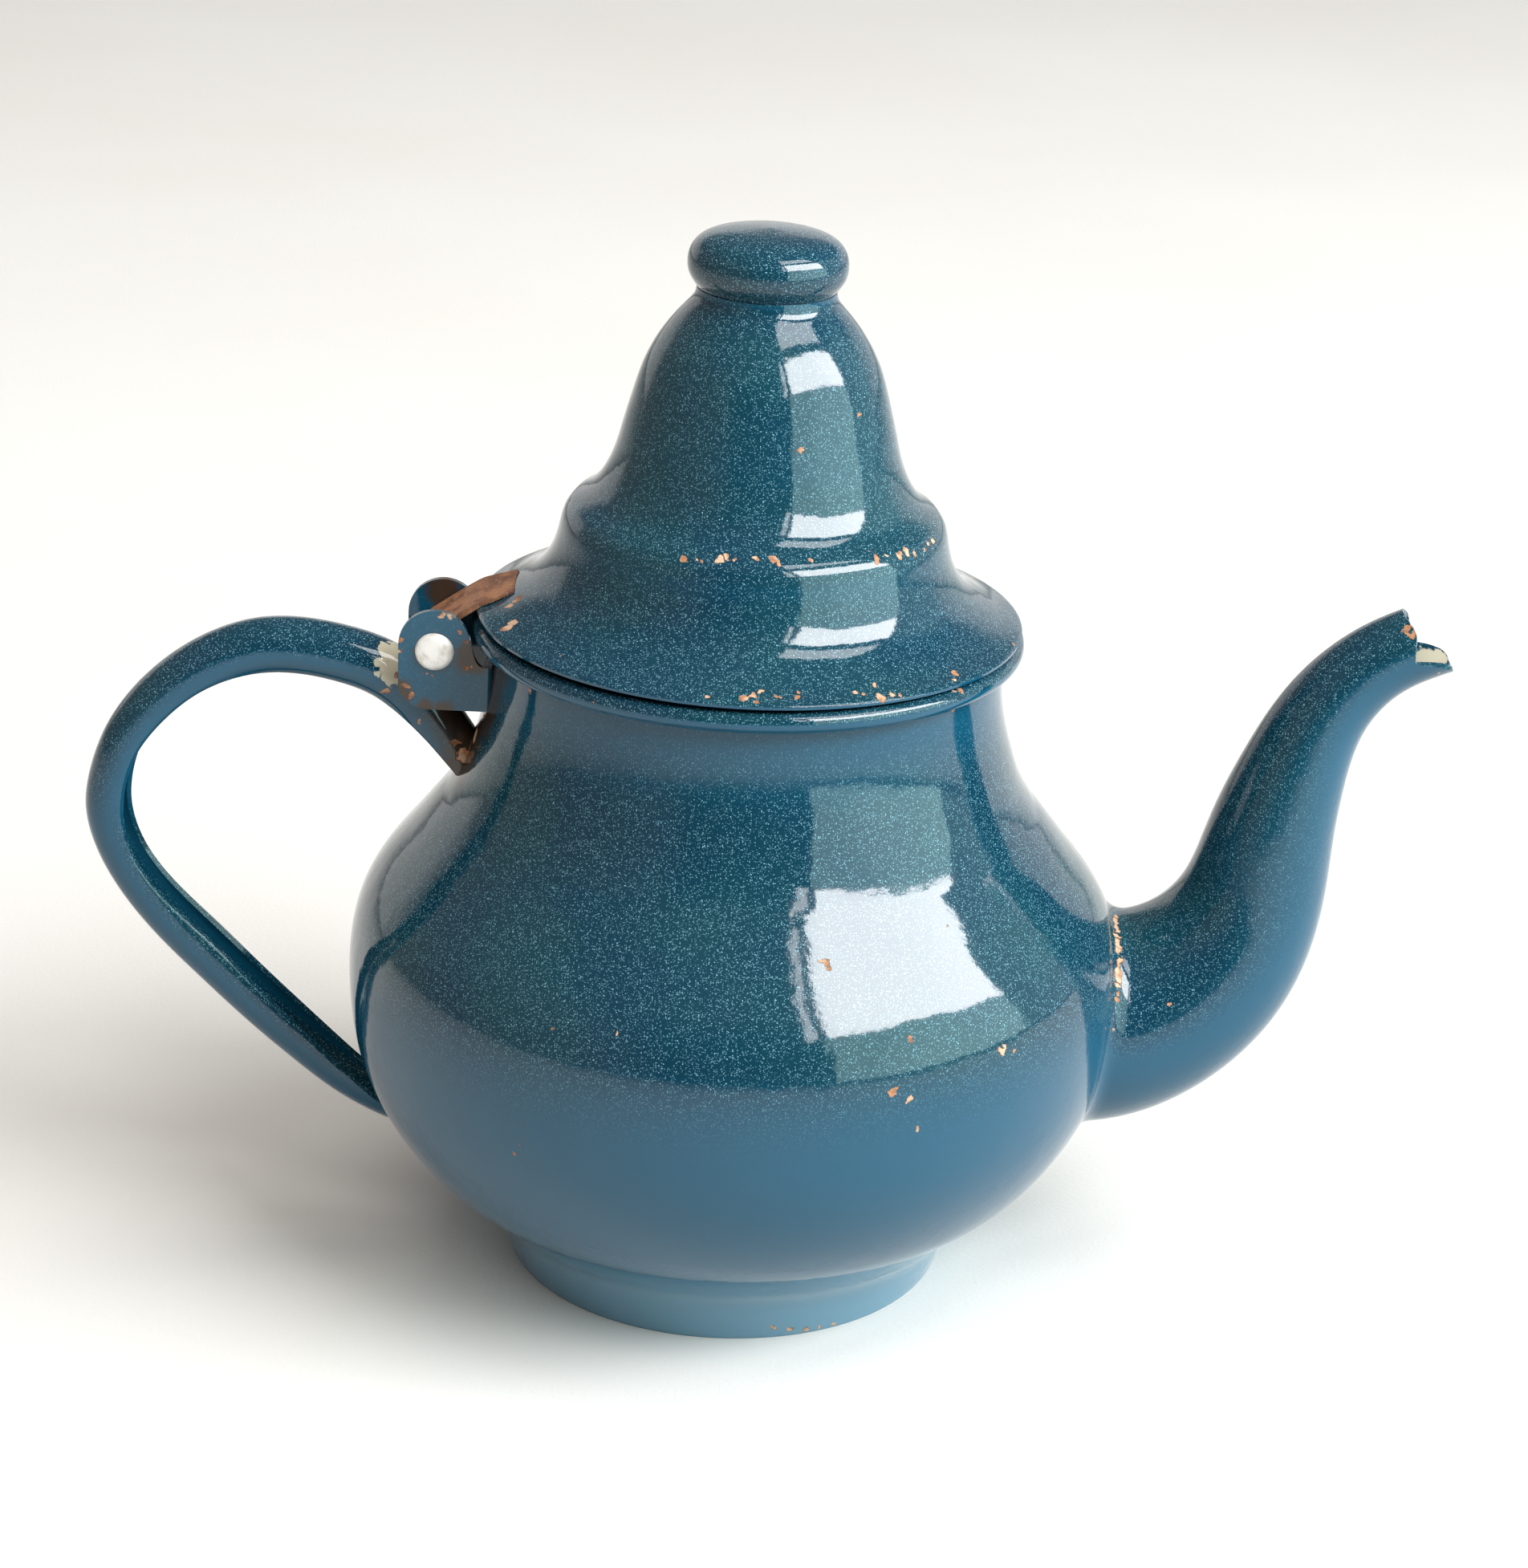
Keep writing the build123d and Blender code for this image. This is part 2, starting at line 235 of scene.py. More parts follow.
def round_edges(obj, width, angle=35):
    modifier = obj.modifiers.new("round", "BEVEL")
    modifier.width = width * MM
    modifier.segments = 3
    modifier.limit_method = "ANGLE"
    modifier.angle_limit = math.radians(angle)
    apply_modifiers(obj)


def join(name, objects):
    for other in bpy.context.selected_objects:
        other.select_set(False)
    for obj in objects:
        obj.select_set(True)
    bpy.context.view_layer.objects.active = objects[0]
    bpy.ops.object.join()
    objects[0].name = name
    objects[0].data.name = name
    return objects[0]


# ---- pot ----------------------------------------------------------------------------------
outer_belly = smooth(BELLY, 120)
outer_neck = smooth(NECK, 40)
outer = np.vstack([outer_belly[:-1], outer_neck])
inner = offset(outer, SHEET)[::-1]
inner = inner[(inner[:, 1] < INNER_WALL_TOP) & (inner[:, 1] > INNER_WALL_LOW)]
roll = arc(ROLL_CENTRE, ROLL_RADIUS, 232, 500, 30)
foot = [(31.95, 0.35), (32.15, 0.0), (32.55, 0.0), (32.8, 0.3)]
pot_loop = [tuple(p) for p in np.vstack([outer, roll, inner, foot])]
body = turned("enamel_pot", pot_loop, ROUND_SEGMENTS, wobble=POT_WOBBLE)

cutters = []
HOLE_RINGS = 1
HOLE_PITCH = 8.4
HOLE_RADIUS = 2.3
CUTTER_LENGTH = 20
STRAINER_X = 54
STRAINER_Z = 40.5
for ring in range(HOLE_RINGS + 1):
    for k in range(max(1, 6 * ring)):
        a = 2 * math.pi * k / max(1, 6 * ring)
        out = ring * HOLE_PITCH
        place = (STRAINER_X, out * math.cos(a), STRAINER_Z + out * math.sin(a))
        bpy.ops.mesh.primitive_cylinder_add(
            vertices=28, radius=HOLE_RADIUS * MM, depth=CUTTER_LENGTH * MM
        )
        cutter = bpy.context.object
        cutter.data.transform(Matrix.Rotation(math.pi / 2, 4, "Y"))
        cutter.data.transform(Matrix.Translation([MM * c for c in place]))
        cutters.append(cutter)
cutter = join("holes", cutters)
modifier = body.modifiers.new("strainer", "BOOLEAN")
modifier.object = cutter
modifier.solver = "EXACT"
apply_modifiers(body)
bpy.data.objects.remove(cutter)


# ---- spout --------------------------------------------------------------------------------
spout_line = smooth(SPOUT, 400)
spout_centre = spout_line[:, :2]
spout_radius = spout_line[:, 2]
spout_along = np.gradient(spout_centre, axis=0)
spout_along /= np.linalg.norm(spout_along, axis=1)[:, None]
pot_profile = np.array(sorted([tuple(p) for p in outer], key=lambda p: p[1]))

NUB_X = 95.6
NOTCH_Z = 99.7
LIP_ROOT_X = 95.4
LIP_TIP = (102.0, 97.5)
NUB_ROUND_FROM = 103.2
NUB_ROUNDING = 0.22
MOUTH_FROM_X = 88


def spout_point(i, side, less):
    """Point on ring i at the angle side, measured from the upper side of the bore."""
    r = spout_radius[i] - less
    ax, az = spout_along[i]
    up = -az * math.cos(side) * r
    rise = ax * math.cos(side) * r
    return (spout_centre[i][0] + up, math.sin(side) * r, spout_centre[i][1] + rise)


def past_mouth(x, z):
    """True beyond the cut of the mouth: a short upper nub, a notch and a long pouring lip."""
    if z > NOTCH_Z:
        rounding = max(0.0, z - NUB_ROUND_FROM)
        return x > NUB_X - NUB_ROUNDING * rounding**2
    ahead = max(0.0, (x - LIP_ROOT_X) / (LIP_TIP[0] - LIP_ROOT_X))
    return ahead > 1 or z > LIP_TIP[1] + (NOTCH_Z - LIP_TIP[1]) * math.sqrt(1 - ahead**2)


def inside_pot(p, less):
    r = np.interp(p[2], pot_profile[:, 1], pot_profile[:, 0])
    return math.hypot(p[0], p[1]) < r - less


def spout_span(side, less):
    """Where the tube at this angle leaves the pot's wall, and where the mouth cuts it."""
    count = len(spout_centre)
    first = 0
    while first < count and inside_pot(spout_point(first, side, less), 0.25):
        first += 1
    last = first
    while last < count - 1:
        x, y, z = spout_point(last, side, 0)
        if x > MOUTH_FROM_X and past_mouth(x, z):
            break
        last += 1
    return first, last


SPOUT_SIDES = 96
SPOUT_RINGS = 110
FILLET = 2.4
SINK = 0.5
spans = [spout_span(2 * math.pi * k / SPOUT_SIDES, 0) for k in range(SPOUT_SIDES)]


def even(values):
    v = np.array(values, float)
    return (np.roll(v, 1) + 2 * v + np.roll(v, -1)) / 4


starts = even([s[0] for s in spans])
ends = even([s[1] for s in spans])


def tube_point(k, place, less):
    """Point at side k and a fractional place along the spout's line."""
    side = 2 * math.pi * k / SPOUT_SIDES
    i = int(min(place, len(spout_centre) - 2))
    low = np.array(spout_point(i, side, less))
    return low + (place - i) * (np.array(spout_point(i + 1, side, less)) - low)


def onto_pot(p, depth):
    """The point moved straight to or from the pot's axis until it lies depth under the surface."""
    r = np.interp(p[2], pot_profile[:, 1], pot_profile[:, 0]) - depth
    scale = r / math.hypot(p[0], p[1])
    return np.array([p[0] * scale, p[1] * scale, p[2]])


def seam_points(k):
    """Where the fillet starts on the pot, where it would meet sharply, and where it ends."""
    sharp = onto_pot(tube_point(k, starts[k], 0), 0)
    i = int(starts[k])
    axis = np.array([spout_centre[i][0], 0, spout_centre[i][1]])
    outward = sharp - axis
    outward /= np.linalg.norm(outward)
    on_pot = onto_pot(sharp + FILLET * outward, 0)
    place = starts[k]
    while np.linalg.norm(tube_point(k, place, 0) - sharp) < FILLET:
        place += 0.5
    return on_pot, sharp, place


seams = [seam_points(k) for k in range(SPOUT_SIDES)]
tube_starts = even([s[2] for s in seams])
ring_range = range(SPOUT_SIDES)


def ring_toward_mouth(share, first, less):
    """Ring at a share of the way from the places in first to the mouth."""
    return [tube_point(k, first[k] + share * (ends[k] - first[k]), less) for k in ring_range]


rings = [[onto_pot(seams[k][0], SINK) for k in ring_range]]
for t in np.linspace(0, 1, 12)[:-1]:
    ring = []
    for k in ring_range:
        on_pot, sharp, place = seams[k]
        on_tube = tube_point(k, tube_starts[k], 0)
        ring.append((1 - t) ** 2 * on_pot + 2 * t * (1 - t) * sharp + t**2 * on_tube)
    rings.append(ring)
for share in np.linspace(0, 1, SPOUT_RINGS):
    rings.append(ring_toward_mouth(share, tube_starts, 0))
for less in (0.3, 0.7):
    rings.append([tube_point(k, ends[k] + 0.5, less) for k in ring_range])
for share in np.linspace(1, 0, SPOUT_RINGS):
    rings.append(ring_toward_mouth(share, starts, SHEET))
rings.append([onto_pot(tube_point(k, starts[k], SHEET), SINK) for k in ring_range])
verts = [v for ring in rings for v in ring]
spout = mesh_object("enamel_spout", verts, grid_faces(len(rings), SPOUT_SIDES, True, True), 50)


# ---- handle -------------------------------------------------------------------------------
# The strip's two ends run on through the pot's wall, and the upper one shows inside the neck.
HANDLE_STATIONS = 260
HALF_WIDTH = 4.5
ROUND = 4.2
crown = smooth(HANDLE_CROWN, HANDLE_STATIONS)
edge = smooth(HANDLE_EDGE, 900)
along = np.gradient(crown, axis=0)
along /= np.linalg.norm(along, axis=1)[:, None]
inward = np.stack([-along[:, 1], along[:, 0]], 1)


def depth_at(i):
    """Distance from the crown to the trimmed edge, straight into the loop."""
    to_edge = edge - crown[i]
    aside = to_edge @ along[i]
    ahead = to_edge @ inward[i]
    good = np.where(ahead > 0.2)[0]
    best = good[np.argmin(np.abs(aside[good]) + 0.02 * ahead[good])]
    return float(ahead[best])


depths = np.array([depth_at(i) for i in range(HANDLE_STATIONS)])
depths = np.convolve(np.pad(depths, 4, "edge"), np.ones(9) / 9, "valid")


def strip_section(depth):
    """Closed outline of the C section as (across, inward) with a rounded edge at each side."""
    end = math.acos(max(-0.93, min(0.97, 1 - depth / ROUND)))
    angles = np.linspace(-end, end, 41)
    outer_side = [(HALF_WIDTH * math.sin(a), ROUND - ROUND * math.cos(a)) for a in angles]
    inner_side = [
        ((HALF_WIDTH - SHEET) * math.sin(a), ROUND - (ROUND - SHEET) * math.cos(a))
        for a in angles[::-1]
    ]
    lip = (np.array(outer_side[-1]) + np.array(inner_side[0])) / 2
    push = np.array([0.1 * math.cos(end), 0.42 * math.sin(end)])
    first = lip + push
    second = np.array([-first[0], first[1]])
    return outer_side + [tuple(first)] + inner_side + [tuple(second)]


verts = []
for i in range(HANDLE_STATIONS):
    section = strip_section(depths[i])
    for across, deep in section:
        x, z = crown[i] + deep * inward[i]
        verts.append((x, across, z))
columns = len(section)
faces = grid_faces(HANDLE_STATIONS, columns, False, True)
faces.append(tuple(range(columns)))
faces.append(tuple(range(len(verts) - 1, len(verts) - 1 - columns, -1)))
handle = mesh_object("enamel_handle", verts, faces, 50)

# ---- hinge bracket: one strip folded into two ears and a web that hugs the neck -----------
EAR_OUTER = 7.75
EAR_SHEET = 1.0
EAR_RADIUS = 5.2
EAR_TOP = 101.9
EAR_BOTTOM = 86.9
ARM_TOP = 93.6
mid = EAR_OUTER - EAR_SHEET / 2
WEB_RADIUS = 37.7
FOLD = 0.35
EAR_SHOULDER = 0.97
turn_angle = math.asin(mid / WEB_RADIUS)
arm_end = -WEB_RADIUS * math.cos(turn_angle)


def ear_low(x):
    """Lower edge of the ear, swept up round its outer corner."""
    left = PIN[0] - EAR_RADIUS
    across = min(1.0, max(0.0, (x - left) / 4.2))
    return EAR_BOTTOM + 3.6 * (1 - math.sqrt(1 - (1 - across) ** 2)) + 0.25 * (1 - across)


def ear_high(x):
    """Upper edge: the round top over the pin, then a hollow curve down to the arm."""
    centre_z = EAR_TOP - EAR_RADIUS
    across = (x - PIN[0]) / EAR_RADIUS
    if across <= EAR_SHOULDER:
        return centre_z + EAR_RADIUS * math.sqrt(max(0.0, 1 - across**2))
    start_z = centre_z + EAR_RADIUS * math.sqrt(1 - EAR_SHOULDER**2)
    fall = min(1.0, (x - PIN[0] - EAR_SHOULDER * EAR_RADIUS) / 2.4)
    return ARM_TOP + (start_z - ARM_TOP) * (1 - fall) ** 3.2


def bracket_path(side):
    """Plan line of one half, from the ear's free end to the middle of the web."""
    left = PIN[0] - EAR_RADIUS
    xs = left + (arm_end - FOLD - left) * (1 - np.cos(np.linspace(0, math.pi, 46))) / 2
    points = [(x, side * mid) for x in xs]
    for a in np.linspace(0, 1, 7)[1:]:
        swing = a * (math.pi / 2 - turn_angle * 0.6)
        x = arm_end - FOLD + FOLD * math.sin(swing)
        points.append((x, side * (mid - FOLD * (1 - math.cos(swing)))))
    first = math.asin(min(1.0, abs(points[-1][1]) / WEB_RADIUS))
    for a in np.linspace(first, 0, 14)[1:]:
        points.append((-WEB_RADIUS * math.cos(a), side * WEB_RADIUS * math.sin(a)))
    return points


half = bracket_path(-1)
plan = half + [(x, -y) for x, y in half[::-1]][1:]
plan = np.array(plan)
tangent = np.gradient(plan, axis=0)
tangent /= np.linalg.norm(tangent, axis=1)[:, None]
normal = np.stack([-tangent[:, 1], tangent[:, 0]], 1)
BRACKET_ROWS = 16
verts = []
for face_side in (-1, 1):
    for (x, y), n in zip(plan, normal):
        for k in range(BRACKET_ROWS):
            low = ear_low(x)
            high = ear_high(x)
            z = low + (high - low) * k / (BRACKET_ROWS - 1)
            verts.append((x + face_side * n[0] * EAR_SHEET / 2, y + face_side * n[1] * EAR_SHEET / 2, z))
bracket = mesh_object("hinge_ears", verts, sheet_faces(len(plan), BRACKET_ROWS))
round_edges(bracket, 0.25, 50)

# ---- rivet --------------------------------------------------------------------------------
HEAD_RADIUS = 2.8
HEAD_HEIGHT = 0.9
head = [
    (0.0, EAR_OUTER + HEAD_HEIGHT),
    (1.2, EAR_OUTER + HEAD_HEIGHT - 0.02),
    (2.0, EAR_OUTER + HEAD_HEIGHT - 0.12),
    (2.5, EAR_OUTER + HEAD_HEIGHT - 0.34),
    (2.75, EAR_OUTER + 0.3),
    (HEAD_RADIUS, EAR_OUTER + 0.02),
    (PIN_RADIUS, EAR_OUTER),
]
rivet_loop = head + [(r, -h) for r, h in reversed(head)]
rivet = turned_closed("rivet_pin", rivet_loop, 72)
rivet.data.transform(Matrix.Rotation(math.pi / 2, 4, "X"))
rivet.data.transform(Matrix.Translation((PIN[0] * MM, 0, PIN[1] * MM)))

# ---- lid ----------------------------------------------------------------------------------
LID_TOP_HOLE = 8.2
LID_WOBBLE = 0.05
outer_lid = np.vstack([smooth(FLANGE, 64)[:-1], smooth(DOME, 84)])
inner_lid = offset(outer_lid, SHEET)[::-1]
inner_lid = inner_lid[inner_lid[:, 0] > LID_TOP_HOLE]
hem = [
    (37.6, 101.5), (38.2, 100.95), (38.9, 100.72), (39.35, 100.95), (39.42, 101.35),
    (39.22, 101.6),
]
lid_loop = [tuple(p) for p in np.vstack([outer_lid, inner_lid, np.array(hem)])]
lid = turned("enamel_lid", lid_loop, ROUND_SEGMENTS, wobble=LID_WOBBLE)
SKIRT_OUTER = 34.6
SKIRT_LOW = 95.5
SKIRT_TOP = 103.1
skirt_loop = [
    (SKIRT_OUTER, SKIRT_LOW + 0.3), (SKIRT_OUTER, SKIRT_TOP), (SKIRT_OUTER - 0.8, SKIRT_TOP),
    (SKIRT_OUTER - 0.8, SKIRT_LOW + 0.3), (SKIRT_OUTER - 0.6, SKIRT_LOW), (SKIRT_OUTER - 0.2, SKIRT_LOW),
]
skirt = turned("lid_skirt", skirt_loop, 192)
lid = join("enamel_lid", [lid, skirt])
tilt_lid(lid)

knob_line = smooth(KNOB, 70)
knob_line[:, 0] = np.maximum(knob_line[:, 0], 0)
knob_seat = [(0.0, 148.9), (8.8, 148.9), (9.5, 149.2)]
knob = turned_closed("enamel_knob", knob_seat + [tuple(p) for p in knob_line])
tilt_lid(knob)

# ---- strap --------------------------------------------------------------------------------
STRAP_SHEET = 1.0
STRAP_BEND = (-39.0, 102.4)
STRAP_TIP = (-33.9, 104.4)
ROLL_POINTS = 60
SOFTEN_FROM = ROLL_POINTS + 2
NARROW_FROM = ROLL_POINTS + 6
eye = PIN_RADIUS + 0.06 + STRAP_SHEET / 2
bend = np.array(STRAP_BEND)
tip = np.array(STRAP_TIP)
to_bend = bend - np.array(PIN)
lift = math.asin(eye / np.linalg.norm(to_bend))
heading = math.atan2(to_bend[1], to_bend[0]) - lift
touch_angle = math.degrees(heading) + 90
roll_line = arc(PIN, eye, touch_angle + 318, touch_angle, ROLL_POINTS)
leaf = [roll_line[-1] + (bend - roll_line[-1]) * s for s in np.linspace(0, 1, 12)[1:-1]]
soft_bend = [bend + (tip - bend) * s for s in np.linspace(0.06, 1, 14)]
line = np.vstack([roll_line, leaf, [bend], soft_bend])
for _ in range(3):
    before = line[SOFTEN_FROM - 1:-2]
    after = line[SOFTEN_FROM + 1:]
    line[SOFTEN_FROM:-1] = (before + 2 * line[SOFTEN_FROM:-1] + after) / 4
direction = np.gradient(line, axis=0)
direction /= np.linalg.norm(direction, axis=1)[:, None]
upward = np.stack([-direction[:, 1], direction[:, 0]], 1)
STRAP_ROWS = 13
verts = []
for face_side in (-0.5, 0.5):
    for i, p in enumerate(line):
        narrowing = max(0.0, (i - NARROW_FROM) / (len(line) - 1 - NARROW_FROM))
        half_width = 6.0 - 1.1 * narrowing**1.5
        for k in range(STRAP_ROWS):
            across = -half_width + 2 * half_width * k / (STRAP_ROWS - 1)
            x, z = p + face_side * STRAP_SHEET * (1 - 0.5 * narrowing) * upward[i]
            verts.append((x, across, z))
strap = mesh_object("rusty_strap", verts, sheet_faces(len(line), STRAP_ROWS))
round_edges(strap, 0.2, 50)


# ---- materials ----------------------------------------------------------------------------
class Nodes:
    """Short way to build a node tree: node(kind, inputs...) returns the node."""

    def __init__(self, name):
        self.material = bpy.data.materials.new(name)
        self.material.use_nodes = True
        self.tree = self.material.node_tree
        self.shader = self.tree.nodes["Principled BSDF"]

    def put(self, socket, value):
        if isinstance(value, bpy.types.NodeSocket):
            self.tree.links.new(value, socket)
        else:
            socket.default_value = value

    def node(self, kind, inputs=None, **settings):
        made = self.tree.nodes.new(kind)
        for key, value in settings.items():
            setattr(made, key, value)
        for key, value in (inputs or {}).items():
            self.put(made.inputs[key], value)
        return made

    def position(self):
        return self.node("ShaderNodeTexCoord").outputs["Object"]

    def math(self, operation, a, b=0.0, clamp=False):
        return self.node("ShaderNodeMath", {0: a, 1: b}, operation=operation, use_clamp=clamp).outputs[0]

    def noise(self, where, scale, detail=3.0, rough=0.55):
        inputs = {"Vector": where, "Scale": scale, "Detail": detail, "Roughness": rough}
        return self.node("ShaderNodeTexNoise", inputs).outputs["Fac"]

    def vector(self, operation, a, b):
        return self.node("ShaderNodeVectorMath", {0: a, 1: b}, operation=operation)

    def step(self, value, low, high):
        """0 below low, 1 above high, smooth between; low may be the larger."""
        made = self.node("ShaderNodeMapRange", {"Value": value, "From Min": low, "From Max": high})
        made.interpolation_type = "SMOOTHSTEP"
        return made.outputs["Result"]

    def mix(self, share, a, b):
        made = self.node("ShaderNodeMix", data_type="RGBA")
        self.put(made.inputs[0], share)
        self.put(made.inputs[6], a)
        self.put(made.inputs[7], b)
        return made.outputs[2]

    def bump(self, height, strength, distance, under=None):
        made = self.node("ShaderNodeBump", {"Height": height, "Strength": strength, "Distance": distance})
        if under is not None:
            self.put(made.inputs["Normal"], under)
        return made.outputs["Normal"]


TEAL = (0.0025, 0.027, 0.049, 1)
TEAL_GREEN = (0.004, 0.034, 0.050, 1)
TEAL_EVEN = (0.003, 0.064, 0.119, 1)
# Lighter teal painted on the foot ring as a reflection of the bright cloth.
FOOT_PAINTED_REFLECTION = (0.110, 0.220, 0.300, 1)
# Rusty brown for patches that are partly rust and partly painted shade.
RUST_AND_SHADE_BROWN = (0.040, 0.026, 0.018, 1)
# Colour of the painted glints: bright dots that stand in for glints of the window light.
PAINTED_GLINT = (0.30, 0.60, 0.72, 1)
RUST = (0.40, 0.175, 0.075, 1)
RUST_DARK = (0.15, 0.07, 0.04, 1)
GROUND_COAT = (0.50, 0.43, 0.33, 1)
PALE_COAT = (0.42, 0.39, 0.30, 1)


# These dots are painted glints of the window light, not spots in the enamel.
def glint_flecks(n, where, scale, size, keep):
    """Small round dots, one per cell, of which a share is kept."""
    cell = n.node("ShaderNodeTexVoronoi", {"Vector": where, "Scale": scale, "Randomness": 1.0})
    dot = n.step(cell.outputs["Distance"], size, size * 0.45)
    pick = n.node("ShaderNodeSeparateColor", {"Color": cell.outputs["Color"]})
    kept = n.step(pick.outputs[0], 1 - keep, 1 - keep + 0.05)
    shine = n.math("MULTIPLY_ADD", pick.outputs[1], 0.6)
    n.put(shine.node.inputs[2], 0.4)
    return n.math("MULTIPLY", n.math("MULTIPLY", dot, kept), shine)


def rust_colour(n, where):
    blotch = n.noise(where, 900, 5, 0.7)
    return n.mix(n.step(blotch, 0.35, 0.65), RUST_DARK, RUST)


def nearest(n, where, spots):
    """Distance to the nearest of the (x, y, z, radius) spots, as a share of its radius."""
    near = None
    for x, y, z, radius in spots:
        gap = n.vector("DISTANCE", where, (x * MM, y * MM, z * MM))
        share = n.math("DIVIDE", gap.outputs["Value"], radius * MM)
        near = share if near is None else n.math("MINIMUM", near, share)
    return near


def enamel(name, chips=(), rusty_edge=None, pale=(), rust_and_shade=(), glints_only_facing_up=True):
    """Glossy enamel with speckle that is painted glints of the window light.  chips are (x, y, z,
    radius) in millimetres where it has flaked off, pale ones have lost only the coloured coat and
    need chips too, and rust_and_shade are rusty-brown patches, partly rust and partly painted shade.
    All are placed by position, so a patch also colours the wall's other side."""
    n = Nodes(name)
    where = n.position()
    cloud = n.noise(where, 45, 2, 0.5)
    base = n.mix(n.step(cloud, 0.35, 0.65), TEAL, TEAL_GREEN)
    fine = glint_flecks(n, where, 4600, 0.44, 0.50)
    medium = glint_flecks(n, where, 2900, 0.33, 0.42)
    large = glint_flecks(n, where, 1500, 0.16, 0.28)
    small = n.math("ADD", n.math("MULTIPLY", fine, 0.45), n.math("MULTIPLY", medium, 0.55), clamp=True)
    glint_amount = n.math("ADD", small, n.math("MULTIPLY", large, 0.75), clamp=True)
    glint_speckled = n.mix(glint_amount, base, PAINTED_GLINT)
    # Painted glints: the speckle stands in for glints of the window light, so it is kept where the
    # wall faces up toward the light and sinks into an even tone where the wall turns down toward the table.
    facing = n.node("ShaderNodeSeparateXYZ", {"Vector": n.node("ShaderNodeNewGeometry").outputs["Normal"]})
    upward = n.step(facing.outputs[2], -0.12, 0.32) if glints_only_facing_up else 1.0
    height = n.node("ShaderNodeSeparateXYZ", {"Vector": where}).outputs[2]
    # Painted reflection: below 22 mm the even tone turns lighter toward the foot, standing in for the bright
    # cloth seen in the foot ring.
    even_tone_and_foot_reflection = n.mix(n.step(height, 0.022, 0.006), TEAL_EVEN, FOOT_PAINTED_REFLECTION)
    colour = n.mix(upward, even_tone_and_foot_reflection, glint_speckled)
    # Rusty-brown patches where the handle and the ears meet the neck: partly rust, partly painted shade.
    if rust_and_shade:
        cloudy = n.noise(where, 330, 4, 0.65)
        near_rust_and_shade = n.math("ADD", nearest(n, where, rust_and_shade), n.math("MULTIPLY", cloudy, 0.9))
        colour = n.mix(n.step(near_rust_and_shade, 1.35, 0.85), colour, RUST_AND_SHADE_BROWN)
    peel = n.noise(where, 160, 2, 0.5)
    pores = n.noise(where, 1400, 2, 0.5)
    normal = n.bump(peel, 0.10, 0.0009)
    normal = n.bump(pores, 0.05, 0.00015, normal)
    rough = n.math("MULTIPLY_ADD", glint_amount, 0.10)
    n.put(rough.node.inputs[2], 0.07)
    if chips or rusty_edge:
        ragged = n.node("ShaderNodeTexNoise", {"Vector": where, "Scale": 700.0, "Detail": 4.0})
        shift = n.vector("SUBTRACT", ragged.outputs["Color"], (0.5, 0.5, 0.5))
        scaled = n.node("ShaderNodeVectorMath", {0: shift.outputs[0]}, operation="SCALE")
        scaled.inputs["Scale"].default_value = 0.0022
        moved = n.vector("ADD", where, scaled.outputs[0]).outputs[0]
        if pale:
            thin = n.step(nearest(n, moved, pale), 1.0, 0.88)
            colour = n.mix(thin, colour, PALE_COAT)
        near = nearest(n, moved, chips)
        if rusty_edge:
            band = rusty_edge(n, moved)
            near = band if near is None else n.math("MINIMUM", near, band)
        flaked = n.step(near, 1.0, 0.90)
        patch = n.step(n.noise(where, 420, 2, 0.5), 0.44, 0.58)
        core = n.math("MULTIPLY", n.step(near, 0.92, 0.72), patch)
        bare = n.mix(core, rust_colour(n, where), n.mix(0.50, GROUND_COAT, RUST))
        colour = n.mix(flaked, colour, bare)
        rough = n.node("ShaderNodeMix", {0: flaked, 2: rough, 3: 0.75}).outputs[0]
        normal = n.bump(n.math("SUBTRACT", 1.0, flaked), 0.6, 0.00025, normal)
    n.put(n.shader.inputs["Base Color"], colour)
    n.put(n.shader.inputs["Roughness"], rough)
    n.put(n.shader.inputs["Normal"], normal)
    n.shader.inputs["IOR"].default_value = 1.52
    return n.material


def rusty_steel(name):
    n = Nodes(name)
    where = n.position()
    blotch = n.noise(where, 260, 6, 0.65)
    fine = n.noise(where, 1800, 4, 0.7)
    warm = n.mix(n.step(blotch, 0.38, 0.62), (0.15, 0.062, 0.035, 1), (0.34, 0.155, 0.075, 1))
    colour = n.mix(n.step(fine, 0.52, 0.72), warm, (0.38, 0.26, 0.19, 1))
    n.put(n.shader.inputs["Base Color"], colour)
    n.put(n.shader.inputs["Roughness"], n.math("ADD", 0.5, n.math("MULTIPLY", fine, 0.4)))
    n.shader.inputs["Metallic"].default_value = 0.25
    n.put(n.shader.inputs["Normal"], n.bump(fine, 0.5, 0.0002))
    return n.material


def worn_aluminium(name):
    n = Nodes(name)
    where = n.position()
    blotch = n.noise(where, 500, 5, 0.6)
    fine = n.noise(where, 2500, 3, 0.6)
    colour = n.mix(n.step(blotch, 0.42, 0.62), (0.83, 0.81, 0.78, 1), (0.62, 0.58, 0.53, 1))
    n.put(n.shader.inputs["Base Color"], colour)
    n.shader.inputs["Metallic"].default_value = 0.35
    n.put(n.shader.inputs["Roughness"], n.math("ADD", 0.32, n.math("MULTIPLY", fine, 0.3)))
    n.put(n.shader.inputs["Normal"], n.bump(blotch, 0.35, 0.0002))
    return n.material


